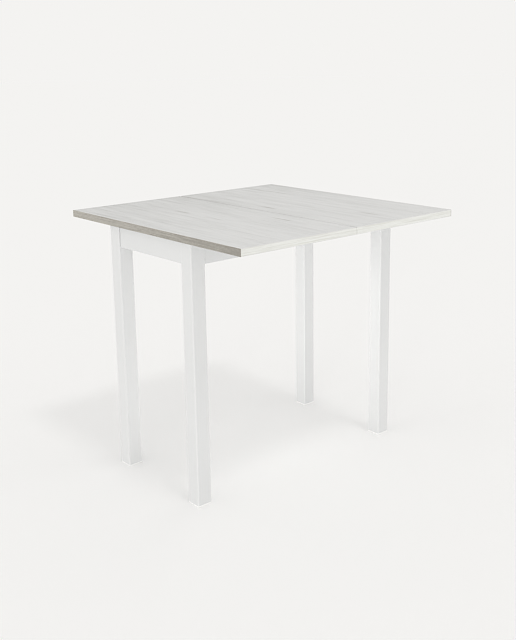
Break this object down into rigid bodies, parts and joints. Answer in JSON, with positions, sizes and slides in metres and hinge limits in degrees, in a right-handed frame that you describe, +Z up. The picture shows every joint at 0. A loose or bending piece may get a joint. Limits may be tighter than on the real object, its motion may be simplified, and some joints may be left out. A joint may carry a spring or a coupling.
{
  "type": "extending dining table",
  "caption": "Square dining table on a narrow white tube frame; the pale oak top swivels a quarter turn on an off-centre pivot and folds in half along its seam.",
  "frame": {"origin": "on the floor under the middle of the open top", "axes": "+Z up; the seam between the leaves runs along Y; the frame is long along X; the picture looks from -X and -Y"},
  "size_m": [0.8, 0.8, 0.76],
  "materials": {
    "white_paint": "satin white powder coat",
    "bracket_zinc": "zinc plated sheet",
    "fastener_steel": "bright zinc plated",
    "foot_plastic": "white moulded polyethylene",
    "glide_nylon": "natural nylon",
    "washed_oak": "white washed oak decor laminate",
    "side_band_oak": "grey oak edge band",
    "end_band_oak": "pale oak edge band",
    "hinge_zinc": "die cast zinc, nickel plated"
  },
  "bodies": {
    "frame": {"leg_front_left": "white_paint", "leg_front_right": "white_paint", "leg_back_left": "white_paint", "leg_back_right": "white_paint", "apron_front": "white_paint", "apron_back": "white_paint", "apron_left": "white_paint", "apron_right": "white_paint", "corner_bracket_front_left": "bracket_zinc", "corner_bracket_front_right": "bracket_zinc", "corner_bracket_back_left": "bracket_zinc", "corner_bracket_back_right": "bracket_zinc", "bracket_screws": "fastener_steel", "bracket_rivet_nuts": "fastener_steel", "foot_cap_front_left": "foot_plastic", "foot_cap_front_right": "foot_plastic", "foot_cap_back_left": "foot_plastic", "foot_cap_back_right": "foot_plastic", "glide_cap_front_left": "glide_nylon", "glide_cap_front_right": "glide_nylon", "glide_cap_back_left": "glide_nylon", "glide_cap_back_right": "glide_nylon", "pivot_rail": "bracket_zinc", "rail_screws": "fastener_steel", "rail_rivet_nuts": "fastener_steel", "pivot_bush": "glide_nylon", "thrust_washer": "glide_nylon"},
    "fixed_top": {"fixed_leaf_board": "washed_oak", "fixed_leaf_side_band": "side_band_oak", "fixed_leaf_end_bands": "end_band_oak", "swivel_plate": "bracket_zinc", "swivel_plate_screws": "fastener_steel", "stop_pin": "fastener_steel", "pivot_bolt": "fastener_steel", "pivot_washer": "fastener_steel", "pivot_spring_washer": "fastener_steel", "pivot_lock_nut": "fastener_steel", "hinge_housing_fixed_front": "hinge_zinc", "hinge_housing_fixed_middle": "hinge_zinc", "hinge_housing_fixed_back": "hinge_zinc", "hinge_pins_fixed": "fastener_steel", "hinge_screws_fixed": "fastener_steel"},
    "hinge_links": {"hinge_links_front": "hinge_zinc", "hinge_links_middle": "hinge_zinc", "hinge_links_back": "hinge_zinc"},
    "flip_leaf": {"flip_leaf_board": "washed_oak", "flip_leaf_side_band": "side_band_oak", "flip_leaf_end_bands": "end_band_oak", "hinge_housing_flip_front": "hinge_zinc", "hinge_housing_flip_middle": "hinge_zinc", "hinge_housing_flip_back": "hinge_zinc", "hinge_pins_flip": "fastener_steel", "hinge_screws_flip": "fastener_steel"}
  },
  "joints": [
    {"name": "top_swivel", "type": "hinge", "parent": "frame", "child": "fixed_top", "pos_m": [-0.10758, 0.10758, 0.735], "axis": [0, 0, 1], "range_deg": [0, 90]},
    {"name": "link_fold", "type": "hinge", "parent": "fixed_top", "child": "hinge_links", "pos_m": [-0.0053, 0, 0.755], "axis": [0, -1, 0], "range_deg": [0, 90]},
    {"name": "leaf_fold", "type": "hinge", "parent": "hinge_links", "child": "flip_leaf", "pos_m": [0.0053, 0, 0.755], "axis": [0, -1, 0], "range_deg": [0, 90]}
  ]
}
